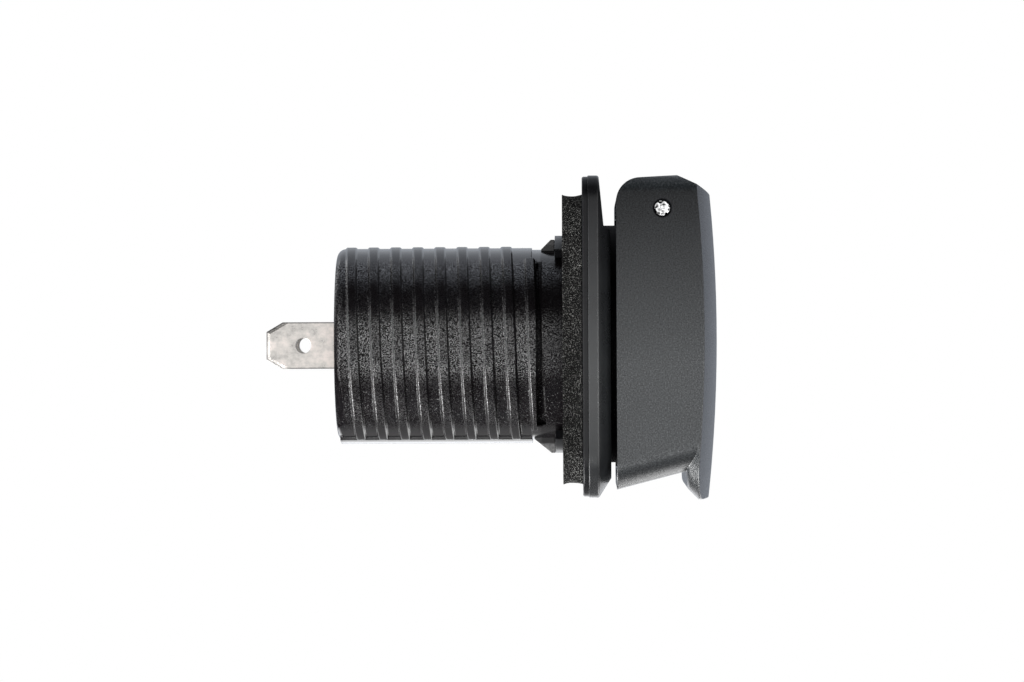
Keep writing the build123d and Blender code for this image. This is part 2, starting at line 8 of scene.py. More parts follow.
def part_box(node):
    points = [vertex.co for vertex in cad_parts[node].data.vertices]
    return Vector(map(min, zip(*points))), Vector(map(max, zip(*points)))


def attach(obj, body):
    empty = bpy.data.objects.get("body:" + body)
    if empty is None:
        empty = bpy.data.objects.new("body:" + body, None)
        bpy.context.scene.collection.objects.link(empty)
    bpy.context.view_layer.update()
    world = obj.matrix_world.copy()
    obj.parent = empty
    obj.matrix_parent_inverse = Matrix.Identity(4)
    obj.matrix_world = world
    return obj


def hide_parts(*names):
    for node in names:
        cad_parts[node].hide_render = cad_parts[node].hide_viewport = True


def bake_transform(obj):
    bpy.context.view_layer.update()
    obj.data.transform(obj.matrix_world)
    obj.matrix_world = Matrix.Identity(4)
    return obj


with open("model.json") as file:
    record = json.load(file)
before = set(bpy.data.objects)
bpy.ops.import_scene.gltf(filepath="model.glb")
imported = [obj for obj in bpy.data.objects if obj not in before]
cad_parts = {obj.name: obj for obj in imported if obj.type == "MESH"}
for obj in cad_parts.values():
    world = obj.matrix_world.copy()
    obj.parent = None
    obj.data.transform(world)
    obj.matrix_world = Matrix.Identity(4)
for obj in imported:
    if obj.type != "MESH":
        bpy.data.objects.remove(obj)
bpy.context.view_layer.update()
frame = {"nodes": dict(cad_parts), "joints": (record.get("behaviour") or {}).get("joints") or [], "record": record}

MM = 0.001

# Camera: the photograph is a side view with a long lens
CAMERA_PLACE = (3.0 * MM, -640.0 * MM, 0.47 * MM)
CAMERA_AIM = (-6.96 * MM, 0.0, 0.47 * MM)
CAMERA_ROLL = math.radians(-0.3)
CAMERA_LENS = 165.4
CAMERA_SENSOR = 36.0
CAMERA_NEAR = 0.01
CAMERA_FAR = 20.0

# Floor, well below the part
FLOOR_HEIGHT = -1.3
FLOOR_SIZE = 6.0

# Where lamps face: the part's middle, or straight up in front of the lid
MIDDLE = (-4.0 * MM, 0.0, 0.0)
BEFORE_LID = (43.0 * MM, 30.0 * MM, 0.0)

# Socket body: barrel, thread, groove in front of the thread whose floor is painted with shadow, and snap barbs
BODY_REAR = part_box("socket_body")[0][0]
BARREL_FRONT = -2.9 * MM
RIM_REAR = 4.6 * MM
RIB_FOOT_RADIUS = 13.14 * MM
RIB_TOP_RADIUS = 13.34 * MM
GROOVE_MIDDLE = -3.15 * MM
GROOVE_HALF_WIDTH = 0.36 * MM
GROOVE_FADE = 0.06 * MM
GROOVE_TOP = 11.0 * MM
BARB_REAR = -3.9 * MM
BARB_ROOT = 13.3 * MM
PANEL_FACE = 0.0

# Body: heights, and places near its rear, over which the look changes and its painted glints, highlights and shade
# lie
SMOOTH_HEIGHTS = (10.4 * MM, 11.6 * MM)
PAINTED_GLINT_HEIGHTS = (4.0 * MM, -6.0 * MM)
EDGE_HIGHLIGHT_HEIGHTS = (7.0 * MM, 3.0 * MM)
DIMMER_HIGHLIGHT_HEIGHTS = (-2.0 * MM, -6.0 * MM)
PAINTED_SHADE_LOW_HEIGHTS = (-0.5 * MM, -7.0 * MM)
REAR_SHADE = (BODY_REAR + 0.2 * MM, BODY_REAR + 1.4 * MM)
REAR_EDGE_HIGHLIGHT = (BODY_REAR + 0.5 * MM, BODY_REAR + 1.4 * MM)
REAR_FACE = (BODY_REAR + 0.05 * MM, BODY_REAR + 0.3 * MM)

# Lid and flange: heights over which painted shade changes the tint and shine, and the front of the plate
PAINTED_SHADE_HEIGHTS = (-3.0 * MM, 20.0 * MM)
FLANGE_SHADE_FOOT_HEIGHTS = (-8.0 * MM, -18.0 * MM)
PLATE_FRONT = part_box("mounting_plate")[1][0]
PLATE_FADE = 0.06 * MM

# Terminal tab
BLADE_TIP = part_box("positive_blade")[0][0]
BLADE_TIP_RUN = 2.2 * MM
BLADE_TIP_HALF_WIDTH = 1.85 * MM
BLADE_HALF_WIDTH = 3.15 * MM
BLADE_CLEANER = (3.5 * MM, 8.0 * MM)
BURR = 0.22 * MM

# Hinge pin, and the painted shadow ring round it in the lid
HINGE_X, _, HINGE_Z = frame["joints"][0]["pos_m"]
PIN_END = 18.5 * MM
PIN_SHADOW_INNER = 1.2 * MM
PIN_SHADOW_OUTER = 1.32 * MM

# Spring wire
WIRE_RADIUS = 0.345 * MM
WIRE_SIDES = 14
COIL_RADIUS = 1.6 * MM
COIL_TURNS = 5.75
COIL_HALF_LENGTH = 2.44375 * MM
STEPS_PER_TURN = 40
FREE_LEG = 5.2 * MM
FIXED_LEG = 5.6 * MM
LEG_STEPS = 8

# Foam pad
FOAM_HOLE_RADIUS = 15.0 * MM
FOAM_TOP_CORNER = 2.475 * MM
FOAM_BOTTOM_CORNER = 4.45 * MM
FOAM_HOLLOW = 0.22 * MM
FOAM_PITS = 0.07 * MM
FOAM_PIT_WIDTH = 0.35 * MM
FOAM_WAVE_WIDTH = 3.0 * MM
FOAM_STATIONS = 720
FOAM_RINGS = 10
FOAM_LAYERS = 12
CORNER_STEPS = 40

# Widths of the soft edges between two looks
NARROW_FADE = 0.2 * MM
WIDE_FADE = 0.3 * MM

# Most values of a noise lie in this range
MOST_NOISE = (0.3, 0.7)

# Rays that find a rounded edge
BEVEL_SAMPLES = 8


class Shading:
    """A shader tree that is built up by short calls. A value is a socket or a number."""

    def __init__(self, tree):
        self.tree = tree
        tree.nodes.clear()

    def add(self, kind):
        """Add a node of a kind and return it."""
        return self.tree.nodes.new(kind)

    def feed(self, target, value):
        """Link an input to a socket, or set its number or colour."""
        if isinstance(value, bpy.types.NodeSocket):
            self.tree.links.new(value, target)
        else:
            target.default_value = value

    def parts(self, vector):
        """Return a vector's X, Y and Z."""
        node = self.add("ShaderNodeSeparateXYZ")
        self.feed(node.inputs["Vector"], vector)
        return [node.outputs[axis] for axis in "XYZ"]

    def maths(self, operation, first, *others):
        """Return the result of an operation on the values, from left to right."""
        result = first
        for other in others:
            node = self.add("ShaderNodeMath")
            node.operation = operation
            self.feed(node.inputs[0], result)
            self.feed(node.inputs[1], other)
            result = node.outputs["Value"]
        return result

    def plus(self, *values):
        """Return the sum of the values."""
        return self.maths("ADD", *values)

    def minus(self, first, second):
        """Return the first value less the second."""
        return self.maths("SUBTRACT", first, second)

    def times(self, *values):
        """Return the product of the values."""
        return self.maths("MULTIPLY", *values)

    def largest(self, *values):
        """Return the largest of the values."""
        return self.maths("MAXIMUM", *values)

    def absolute(self, value):
        """Return the value without its sign."""
        return self.maths("ABSOLUTE", value, 0.0)

    def squared(self, value):
        """Return the value times itself."""
        return self.maths("POWER", value, 2.0)

    def spread(self, value, source, target):
        """Return the value moved from one range to another and held inside it."""
        node = self.add("ShaderNodeMapRange")
        names = ("From Min", "From Max", "To Min", "To Max")
        for name, number in zip(names, (*source, *target)):
            node.inputs[name].default_value = number
        self.feed(node.inputs["Value"], value)
        return node.outputs["Result"]

    def fade(self, value, ends):
        """Return a share that is 0 at the first end of a range and 1 at the second."""
        return self.spread(value, ends, (0.0, 1.0))

    def between(self, share, first, second):
        """Return a value that is the first where the share is 0 and the second where it is 1."""
        return self.spread(share, (0.0, 1.0), (first, second))

    def ramp(self, value, stops):
        """Return a colour that follows the stops, each a place and a colour or grey."""
        node = self.add("ShaderNodeValToRGB")
        elements = node.color_ramp.elements
        while len(elements) < len(stops):
            elements.new(0.5)
        for element, (place, colour) in zip(elements, stops):
            element.position = place
            if isinstance(colour, (int, float)):
                colour = (colour, colour, colour)
            element.color = (*colour, 1.0)
        self.feed(node.inputs["Fac"], value)
        return node.outputs["Color"]

    def mixed(self, share, first, second):
        """Return a shader that is the first where the share is 0 and the second where it is 1."""
        node = self.add("ShaderNodeMixShader")
        for target, value in zip(node.inputs, (share, first, second)):
            self.feed(target, value)
        return node.outputs["Shader"]


class Look(Shading):
    """A material with one principled shader, whose grain is placed on the object in metres."""

    def __init__(self, name):
        self.material = bpy.data.materials.new(name)
        self.material.use_nodes = True
        super().__init__(self.material.node_tree)
        self.surface = self.add("ShaderNodeOutputMaterial").inputs["Surface"]
        self.shader = self.add("ShaderNodeBsdfPrincipled")
        self.feed(self.surface, self.shader.outputs["BSDF"])
        coordinates = self.add("ShaderNodeTexCoord")
        self.place = coordinates.outputs["Object"]
        self.facing = coordinates.outputs["Normal"]

    def give(self, name, value):
        """Give the shader's input a value."""
        self.feed(self.shader.inputs[name], value)

    def noise(self, grains, detail=2.0, roughness=0.5, stretch=None):
        """Return a noise with about that many grains a metre, stretched along the axes if asked."""
        place = self.place
        if stretch is not None:
            mapping = self.add("ShaderNodeMapping")
            self.feed(mapping.inputs["Scale"], stretch)
            self.feed(mapping.inputs["Vector"], place)
            place = mapping.outputs["Vector"]
        node = self.add("ShaderNodeTexNoise")
        self.feed(node.inputs["Scale"], grains)
        self.feed(node.inputs["Detail"], detail)
        self.feed(node.inputs["Roughness"], roughness)
        self.feed(node.inputs["Vector"], place)
        return node.outputs["Fac"]

    def cells(self, count):
        """Return the distance from the middle of cells, with about that many a metre."""
        node = self.add("ShaderNodeTexVoronoi")
        self.feed(node.inputs["Scale"], count)
        self.feed(node.inputs["Vector"], self.place)
        return node.outputs["Distance"]

    def bump(self, height, depth, strength=1.0, under=None):
        """Return a normal raised by the height, which is depth metres deep."""
        node = self.add("ShaderNodeBump")
        self.feed(node.inputs["Distance"], depth)
        self.feed(node.inputs["Strength"], strength)
        self.feed(node.inputs["Height"], height)
        if under is not None:
            self.feed(node.inputs["Normal"], under)
        return node.outputs["Normal"]

    def rounded_edges(self, radius):
        """Return a normal that rounds the edges by a radius."""
        node = self.add("ShaderNodeBevel")
        node.samples = BEVEL_SAMPLES
        self.feed(node.inputs["Radius"], radius)
        return node.outputs["Normal"]


def paler_barbs(look, along, up, grain):
    """Return how much paler the two snap barbs are, the lower one more."""
    upper = look.spread(up, (BARB_ROOT, BARB_ROOT + WIDE_FADE), (0.0, 0.25))
    lower = look.spread(up, (-BARB_ROOT, -BARB_ROOT - WIDE_FADE), (0.0, 0.75))
    ahead_of_rear = look.fade(along, (BARB_REAR, BARB_REAR + NARROW_FADE))
    behind_panel = look.spread(along, (PANEL_FACE, PANEL_FACE + NARROW_FADE), (1.0, 0.0))
    patchy = look.spread(grain, MOST_NOISE, (0.6, 1.4))
    return look.times(look.plus(upper, lower), ahead_of_rear, behind_panel, patchy)


def highlit_rib_edges(look, along, up):
    """Return where the ribs have an edge that faces the rear, from a little above the axis down: where the painted
    highlight goes.
    """
    facing_x, _, _ = look.parts(look.facing)
    rearward = look.fade(facing_x, (-0.12, -0.4))
    return look.times(rearward, look.fade(along, REAR_EDGE_HIGHLIGHT), look.fade(up, EDGE_HIGHLIGHT_HEIGHTS))


def body_plastic():
    """Black moulding with a sparkling spark-eroded grain, smoother on the thread and the lands, with painted
    glints, painted highlights on the ribs' rear edges, and painted shade low down, at the rear end and in front of
    the thread.
    """
    look = Look("body_plastic_look")
    along, across, up = look.parts(look.place)
    height = look.absolute(up)
    from_axis = look.plus(look.squared(across), look.squared(up))
    behind = look.fade(along, (BARREL_FRONT, BARREL_FRONT - NARROW_FADE))
    rib = look.times(look.fade(from_axis, (RIB_FOOT_RADIUS**2, RIB_TOP_RADIUS**2)), behind)
    inner = look.fade(along, (RIM_REAR, RIM_REAR + WIDE_FADE))
    # Painted shade: less shine and fewer painted glints towards the rear end
    painted_rear_shade = look.spread(along, REAR_SHADE, (0.3, 1.0))
    # Ribs' rear-facing edges that carry a painted highlight, in tint and in shine
    edge = look.times(highlit_rib_edges(look, along, up), behind)

    grained = look.times(look.spread(height, SMOOTH_HEIGHTS, (1.0, 0.05)), look.between(rib, 1.0, 0.6))
    coarse = look.noise(grains=7400.0, detail=1.0)
    fine = look.noise(grains=9000.0, detail=1.0)
    edges = look.rounded_edges(radius=0.2 * MM)
    lower = look.bump(coarse, depth=0.03 * MM, strength=grained, under=edges)
    look.give("Normal", look.bump(fine, depth=0.012 * MM, strength=grained, under=lower))

    black = look.spread(look.noise(grains=260.0, detail=3.0, roughness=0.6), MOST_NOISE, (0.0, 0.05))
    # Painted glints: pale specks in the band where the lamps catch the grain, fewer towards the rear
    painted_glints = look.fade(look.noise(grains=6400.0, detail=1.0), (0.66, 0.76))
    painted_glints = look.times(painted_glints, grained, look.fade(up, PAINTED_GLINT_HEIGHTS), painted_rear_shade)
    # Painted highlight: a pale tint along those edges, dimmer lower down
    painted_edge_highlight = look.times(edge, look.spread(coarse, (0.38, 0.66), (0.08, 0.6)))
    painted_edge_highlight = look.times(painted_edge_highlight, look.spread(up, DIMMER_HIGHLIGHT_HEIGHTS, (1.0, 0.35)))
    pale = look.largest(black, paler_barbs(look, along, up, coarse), painted_glints, painted_edge_highlight)
    deep_black = (0.0026, 0.002, 0.0023)
    soft_black = (0.0038, 0.0035, 0.004)
    look.give("Base Color", look.ramp(pale, [(0.0, deep_black), (0.05, soft_black), (1.0, 0.14)]))

    glint = look.times(look.spread(coarse, (0.44, 0.64), (-0.6, 1.25)), grained)
    shine = look.plus(glint, look.between(rib, 0.52, 0.4), look.times(edge, 0.2))
    # Painted shade: the barrel's lower part loses shine, the crests less so and the rear face not at all
    painted_low_shade = look.times(look.spread(up, PAINTED_SHADE_LOW_HEIGHTS, (0.0, 0.82)), grained)
    painted_low_shade = look.times(painted_low_shade, look.between(rib, 1.0, 0.25), look.fade(along, REAR_FACE))
    shine = look.times(shine, look.minus(painted_rear_shade, painted_low_shade))
    # Painted shadow: almost no shine on the floor of the groove in front of the thread, away from the top and
    # bottom
    from_groove = look.absolute(look.minus(along, GROOVE_MIDDLE))
    groove = look.spread(from_groove, (GROOVE_HALF_WIDTH, GROOVE_HALF_WIDTH + GROOVE_FADE), (0.08, 1.0))
    past_groove = look.fade(height, (GROOVE_TOP, GROOVE_TOP + WIDE_FADE))
    shown = look.times(look.between(behind, 0.52, 1.0), look.between(inner, 1.0, 0.1))
    shown = look.times(shown, look.largest(groove, past_groove))
    look.give("Specular IOR Level", look.times(shine, shown))
    rough = look.spread(fine, MOST_NOISE, (0.12, 0.22))
    look.give("Roughness", look.plus(rough, look.times(inner, 0.5)))
    return look.material


def lid_plastic():
    """Dark grey moulding with a fine even grain, with painted shade towards the top and where it faces down,
    painted light where it faces up, and a painted shadow ring round the pin.
    """
    look = Look("lid_plastic_look")
    along, _, up = look.parts(look.place)
    _, _, facing_up = look.parts(look.facing)
    grain = look.noise(grains=5200.0, roughness=0.65)
    fine = look.noise(grains=8000.0, detail=1.0)
    lower = look.bump(grain, depth=0.02 * MM, under=look.rounded_edges(radius=0.2 * MM))
    look.give("Normal", look.bump(fine, depth=0.015 * MM, under=lower))

    # Painted shade: darker and less shiny towards the top
    shade = look.spread(up, PAINTED_SHADE_HEIGHTS, (0.42, 0.1))
    slow = look.noise(grains=180.0, detail=3.0, roughness=0.6)
    patches = look.spread(slow, MOST_NOISE, (-0.03, 0.03))
    specks = look.spread(grain, (0.35, 0.75), (-0.16, 0.26))
    # Painted light where the surface faces up, painted shade where it faces down
    painted_top_light = look.spread(facing_up, (0.1, 0.55), (0.0, 0.4))
    painted_underside_shade = look.spread(facing_up, (-0.6, -0.2), (0.35, 1.0))
    # Painted shadow: a dark ring round the pin's hole, in tint and shine
    from_pin = look.plus(look.squared(look.minus(along, HINGE_X)), look.squared(look.minus(up, HINGE_Z)))
    off_pin_shadow = look.fade(from_pin, (PIN_SHADOW_INNER**2, PIN_SHADOW_OUTER**2))
    level = look.times(look.plus(shade, patches, specks, painted_top_light), painted_underside_shade, off_pin_shadow)
    dark = (0.003, 0.003, 0.0035)
    middle = (0.0115, 0.0135, 0.015)
    pale = (0.05, 0.054, 0.058)
    look.give("Base Color", look.ramp(level, [(0.0, dark), (0.42, middle), (0.8, pale)]))

    shaded_sheen = look.spread(shade, (0.1, 0.42), (0.13, 0.52))
    glint = look.spread(grain, (0.35, 0.65), (0.68, 1.32))
    look.give("Specular IOR Level", look.times(shaded_sheen, glint, off_pin_shadow))
    look.give("Roughness", look.spread(fine, MOST_NOISE, (0.22, 0.34)))
    return look.material


def flange_plastic():
    """Black moulding, smooth and satin, with faint handling marks and painted shade towards the top and the
    bottom; the plate behind is blacker.
    """
    look = Look("flange_plastic_look")
    along, _, up = look.parts(look.place)
    fine = look.noise(grains=5200.0, roughness=0.6)
    edges = look.rounded_edges(radius=0.22 * MM)
    look.give("Normal", look.bump(fine, depth=0.012 * MM, under=edges))

    # Painted shade: darker and less shiny towards the top and the bottom
    upper = look.spread(up, PAINTED_SHADE_HEIGHTS, (0.86, 0.1))
    painted_foot_shade = look.spread(up, FLANGE_SHADE_FOOT_HEIGHTS, (1.0, 0.45))
    front = look.spread(along, (PLATE_FRONT - PLATE_FADE, PLATE_FRONT + PLATE_FADE), (0.25, 1.0))
    shade = look.times(upper, painted_foot_shade, front)
    patches = look.noise(grains=220.0, detail=4.0, roughness=0.65)
    level = look.plus(shade, look.spread(patches, MOST_NOISE, (-0.12, 0.12)))
    dark = (0.003, 0.003, 0.0036)
    pale = (0.015, 0.0162, 0.0172)
    look.give("Base Color", look.ramp(level, [(0.0, dark), (1.0, pale)]))
    look.give("Specular IOR Level", look.between(shade, 0.08, 0.58))
    look.give("Roughness", look.spread(patches, MOST_NOISE, (0.24, 0.34)))
    return look.material


def foam():
    """Cut closed-cell foam: dark cells with paler walls."""
    look = Look("foam_look")
    wall = look.fade(look.cells(count=7600.0), (0.15, 0.75))
    grain = look.noise(grains=9200.0, roughness=0.75)
    patches = look.spread(look.noise(grains=700.0, roughness=0.6), MOST_NOISE, (0.42, 0.6))
    level = look.times(look.plus(wall, patches), grain)
    deep_black = (0.001, 0.001, 0.0012)
    dark_wall = (0.02, 0.02, 0.019)
    pale_wall = (0.17, 0.17, 0.162)
    stops = [(0.3, deep_black), (0.55, 0.002), (0.68, dark_wall), (0.82, pale_wall)]
    look.give("Base Color", look.ramp(level, stops))
    look.give("Roughness", 0.85)
    look.give("Specular IOR Level", 0.12)
    look.give("Normal", look.bump(level, depth=0.2 * MM))
    return look.material


def rubber():
    """Black moulded rubber."""
    look = Look("seal_rubber_look")
    grain = look.noise(grains=4000.0, detail=3.0, roughness=0.6)
    patches = look.noise(grains=300.0, detail=3.0)
    look.give("Normal", look.bump(grain, depth=0.02 * MM))
    look.give("Base Color", look.ramp(patches, [(0.3, 0.013), (0.7, 0.022)]))
    look.give("Roughness", look.spread(grain, MOST_NOISE, (0.6, 0.75)))
    return look.material


def drawn_grain(look, grains, stretch):
    """Return the grain of drawn metal, and a mottle of that grain and slow patches."""
    grain = look.noise(grains, detail=3.0, roughness=0.6, stretch=stretch)
    patches = look.noise(grains=420.0, detail=3.0, roughness=0.6)
    return grain, look.plus(look.times(patches, 0.5), look.times(grain, 0.5))


def sheet_metal(name, dark, light, roughness, grains, stretch, depth):
    """Metal with a drawn grain, slow patches of tint and small roughness changes."""
    look = Look(name)
    grain, mottle = drawn_grain(look, grains, stretch)
    look.give("Base Color", look.ramp(mottle, [(0.36, dark), (0.62, light)]))
    look.give("Metallic", 1.0)
    look.give("Roughness", look.spread(grain, MOST_NOISE, roughness))
    look.give("Normal", look.bump(grain, depth))
    return look.material


def plated_sleeve():
    """Nickel plate, drawn along the bore."""
    return sheet_metal(
        "plated_sleeve_look",
        dark=(0.66, 0.65, 0.63),
        light=(0.76, 0.75, 0.73),
        roughness=(0.2, 0.25),
        grains=1400.0,
        stretch=(0.5, 1.0, 1.0),
        depth=0.002 * MM,
    )


def brass():
    """Plain brass with an even grain."""
    return sheet_metal(
        "brass_look",
        dark=(0.62, 0.42, 0.17),
        light=(0.78, 0.57, 0.28),
        roughness=(0.2, 0.38),
        grains=2000.0,
        stretch=(1.0, 1.0, 1.0),
        depth=0.012 * MM,
    )


def steel():
    """Drawn steel wire and pin, with the pin's ends peened."""
    look = Look("steel_look")
    _, across, _ = look.parts(look.place)
    end = look.fade(look.absolute(across), (PIN_END, PIN_END + NARROW_FADE))
    grain, mottle = drawn_grain(look, grains=2600.0, stretch=(1.0, 0.2, 1.0))
    dents = look.cells(count=1900.0)
    beaten = look.times(look.spread(dents, (0.1, 0.7), (-0.3, 0.3)), end)
    stops = [(0.16, 0.05), (0.36, 0.2), (0.62, 0.5), (0.8, 0.66)]
    look.give("Base Color", look.ramp(look.plus(mottle, beaten), stops))
    look.give("Metallic", 1.0)
    look.give("Roughness", look.spread(grain, MOST_NOISE, (0.12, 0.26)))
    drawn = look.bump(grain, depth=0.01 * MM)
    look.give("Normal", look.bump(dents, depth=0.2 * MM, strength=end, under=drawn))
    return look.material


def tab_burr(look, from_tip, height):
    """Return where the burr runs along the tab's straight sides, slanted corners and end."""
    straight = look.fade(height, (BLADE_HALF_WIDTH - BURR, BLADE_HALF_WIDTH - BURR / 3))
    end = look.fade(from_tip, (BURR, BURR / 3))
    rise = BLADE_HALF_WIDTH - BLADE_TIP_HALF_WIDTH
    length = math.hypot(BLADE_TIP_RUN, rise)
    above_tip = look.minus(height, BLADE_TIP_HALF_WIDTH)
    outward = look.plus(
        look.times(from_tip, -rise / length), look.times(above_tip, BLADE_TIP_RUN / length)
    )
    slanted = look.fade(outward, (-BURR, -BURR / 3))
    return look.largest(straight, end, slanted)


def tinned_strip():
    """Dull tin plate with mottled patches, and a grey burr along the cut edges of the tab."""
    look = Look("tinned_strip_look")
    along, _, up = look.parts(look.place)
    from_tip = look.minus(along, BLADE_TIP)
    burr = tab_burr(look, from_tip, look.absolute(up))
    grain = look.noise(grains=2200.0, detail=3.0, roughness=0.6, stretch=(0.35, 1.0, 1.0))
    patches = look.noise(grains=800.0, detail=4.0, roughness=0.65)
    level = look.minus(look.plus(patches, look.times(grain, 0.35)), 0.175)
    cleaner = look.spread(from_tip, BLADE_CLEANER, (0.0, 0.12))
    clean = look.minus(look.plus(level, cleaner), look.times(burr, 0.6))
    burr_grey = (0.11, 0.107, 0.103)
    dark = (0.26, 0.25, 0.24)
    middle = (0.36, 0.345, 0.327)
    light = (0.5, 0.455, 0.43)
    stops = [(0.0, burr_grey), (0.3, dark), (0.5, middle), (0.75, light)]
    look.give("Base Color", look.ramp(clean, stops))
    look.give("Metallic", 1.0)
    look.give("Roughness", look.spread(level, MOST_NOISE, (0.26, 0.42)))
    edges = look.rounded_edges(radius=0.08 * MM)
    look.give("Normal", look.bump(level, depth=0.02 * MM, under=edges))
    return look.material


def phenolic():
    """Brown pressed board with a fibrous grain."""
    look = Look("phenolic_look")
    fibres = look.noise(grains=900.0, detail=4.0, roughness=0.7, stretch=(1.0, 1.0, 4.0))
    dark = (0.06, 0.034, 0.021)
    light = (0.13, 0.078, 0.05)
    look.give("Base Color", look.ramp(fibres, [(0.3, dark), (0.7, light)]))
    look.give("Roughness", look.spread(fibres, MOST_NOISE, (0.45, 0.6)))
    look.give("Normal", look.bump(fibres, depth=0.02 * MM))
    return look.material


materials = {
    "body_plastic": body_plastic(),
    "lid_plastic": lid_plastic(),
    "flange_plastic": flange_plastic(),
    "foam": foam(),
    "seal_rubber": rubber(),
    "steel": steel(),
    "plated_sleeve": plated_sleeve(),
    "tinned_strip": tinned_strip(),
    "brass": brass(),
    "phenolic": phenolic(),
}
for entry in frame["record"]["subparts"]:
    mesh = frame["nodes"][entry["node"]].data
    mesh.materials.clear()
    mesh.materials.append(materials[entry["material_slot"]])


def add_object(name, data):
    """Add an object with that data to the scene."""
    added = bpy.data.objects.new(name, data)
    bpy.context.scene.collection.objects.link(added)
    return added


def new_piece(name, points, faces, slot):
    """Add a smooth mesh piece that takes the look of a material slot."""
    mesh = bpy.data.meshes.new(name)
    mesh.from_pydata(points, [], faces)
    mesh.polygons.foreach_set("use_smooth", [True] * len(mesh.polygons))
    mesh.materials.append(materials[slot])
    piece = add_object(name, mesh)
    return piece


def loop_faces(stations, ring, closed):
    """Return the quads between neighbouring rings of points."""
    faces = []
    for station in range(stations if closed else stations - 1):
        here = station * ring
        after = (station + 1) % stations * ring
        for index in range(ring):
            beside = (index + 1) % ring
            faces.append((here + index, here + beside, after + beside, after + index))
    return faces


def rounded_outline(half, top, bottom, top_corner, bottom_corner, count):
    """Return evenly spaced points, with outward directions, round a plate with round corners."""
    corners = (
        (half - top_corner, top - top_corner, top_corner, 0.0),
        (-half + top_corner, top - top_corner, top_corner, 90.0),
        (-half + bottom_corner, bottom + bottom_corner, bottom_corner, 180.0),
        (half - bottom_corner, bottom + bottom_corner, bottom_corner, 270.0),
    )
    dense = []
    for across, up, radius, first in corners:
        for step in range(CORNER_STEPS + 1):
            angle = math.radians(first + 90.0 * step / CORNER_STEPS)
            out = Vector((math.cos(angle), math.sin(angle)))
            dense.append((Vector((across, up)) + radius * out, out))
    dense.append(dense[0])
    lengths = [0.0]
    for before, after in zip(dense, dense[1:]):
        lengths.append(lengths[-1] + (after[0] - before[0]).length)
    outline = []
    place = 0
    for index in range(count):
        wanted = lengths[-1] * index / count
        while lengths[place + 1] <= wanted:
            place += 1
        share = (wanted - lengths[place]) / (lengths[place + 1] - lengths[place])
        point = dense[place][0].lerp(dense[place + 1][0], share)
        outline.append((point, dense[place][1].lerp(dense[place + 1][1], share).normalized()))
    return outline


def foam_section(rear, front):
    """Return places round the sheet's section: along the axis, and the share from hole to edge."""
    thick = front - rear
    section = [(rear, step / FOAM_RINGS) for step in range(FOAM_RINGS + 1)]
    section += [(rear + thick * step / FOAM_LAYERS, 1.0) for step in range(1, FOAM_LAYERS)]
    section += [(front, 1.0 - step / FOAM_RINGS) for step in range(FOAM_RINGS + 1)]
    section += [(front - thick * step / FOAM_LAYERS, 0.0) for step in range(1, FOAM_LAYERS)]
    return section


def foam_cut(along, flat, through):
    """Return how far a cut edge lies below the sheet's edge: hollow in the middle, and pitted."""
    hollow = FOAM_HOLLOW * (1.0 - (2.0 * through - 1.0) ** 2)
    spot = Vector((along, flat.x, flat.y))
    small = noise.noise(spot / FOAM_PIT_WIDTH)
    slow = noise.noise(spot / FOAM_WAVE_WIDTH)
    return hollow + FOAM_PITS * (1.0 + small) / 2 + FOAM_PITS * (1.0 + slow)


def foam_pad():
    """Cut foam sheet: flat where it lies on panel and flange, hollow and pitted on its cut edges."""
    low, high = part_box("foam_gasket")
    outline = rounded_outline(
        high[1], high[2], low[2], FOAM_TOP_CORNER, FOAM_BOTTOM_CORNER, FOAM_STATIONS
    )
    section = foam_section(low[0], high[0])
    points = []
    for edge, out in outline:
        toward = edge.normalized()
        hole = FOAM_HOLE_RADIUS * toward
        for along, share in section:
            flat = hole.lerp(edge, share)
            through = (along - low[0]) / (high[0] - low[0])
            if share == 1.0:
                flat = flat - foam_cut(along, flat, through) * out
            elif share == 0.0:
                flat = flat + foam_cut(along, flat, through) * toward
            points.append((along, flat.x, flat.y))
    faces = loop_faces(FOAM_STATIONS, len(section), True)
    piece = new_piece("foam_pad", points, faces, "foam")
    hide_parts("foam_gasket")
    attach(piece, "socket")


def spring_path():
    """Return the wire's middle line: the free leg, the coil and the leg on the rim."""
    path = []
    for step in range(LEG_STEPS, 0, -1):
        down = FREE_LEG * step / LEG_STEPS
        path.append(Vector((HINGE_X - COIL_RADIUS, -COIL_HALF_LENGTH, HINGE_Z - down)))
    steps = round(COIL_TURNS * STEPS_PER_TURN)
    for step in range(steps + 1):
        angle = 2 * math.pi * COIL_TURNS * step / steps
        along = HINGE_X - COIL_RADIUS * math.cos(angle)
        across = COIL_HALF_LENGTH * (2 * step / steps - 1)
        path.append(Vector((along, across, HINGE_Z + COIL_RADIUS * math.sin(angle))))
    for step in range(1, LEG_STEPS + 1):
        back = FIXED_LEG * step / LEG_STEPS
        path.append(Vector((HINGE_X - back, COIL_HALF_LENGTH, HINGE_Z - COIL_RADIUS)))
    return path


def spring_wire():
    """Torsion spring of round wire, built in its rest shape: a free leg, which on the real spring goes with the
    lid, and a leg that lies on the rim.
    """
    path = spring_path()
    final = len(path) - 1
    points = []
    for index, point in enumerate(path):
        ahead = (path[min(index + 1, final)] - path[max(index - 1, 0)]).normalized()
        side = ahead.cross(Vector((0.0, 1.0, 0.0))).normalized()
        other = ahead.cross(side)
        for corner in range(WIRE_SIDES):
            angle = 2 * math.pi * corner / WIRE_SIDES
            points.append(point + WIRE_RADIUS * (math.cos(angle) * side + math.sin(angle) * other))
    faces = loop_faces(len(path), WIRE_SIDES, False)
    faces.append(tuple(range(WIRE_SIDES - 1, -1, -1)))
    faces.append(tuple(range(final * WIRE_SIDES, len(points))))
    piece = new_piece("spring_wire", points, faces, "steel")
    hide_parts("lid_spring")
    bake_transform(piece)


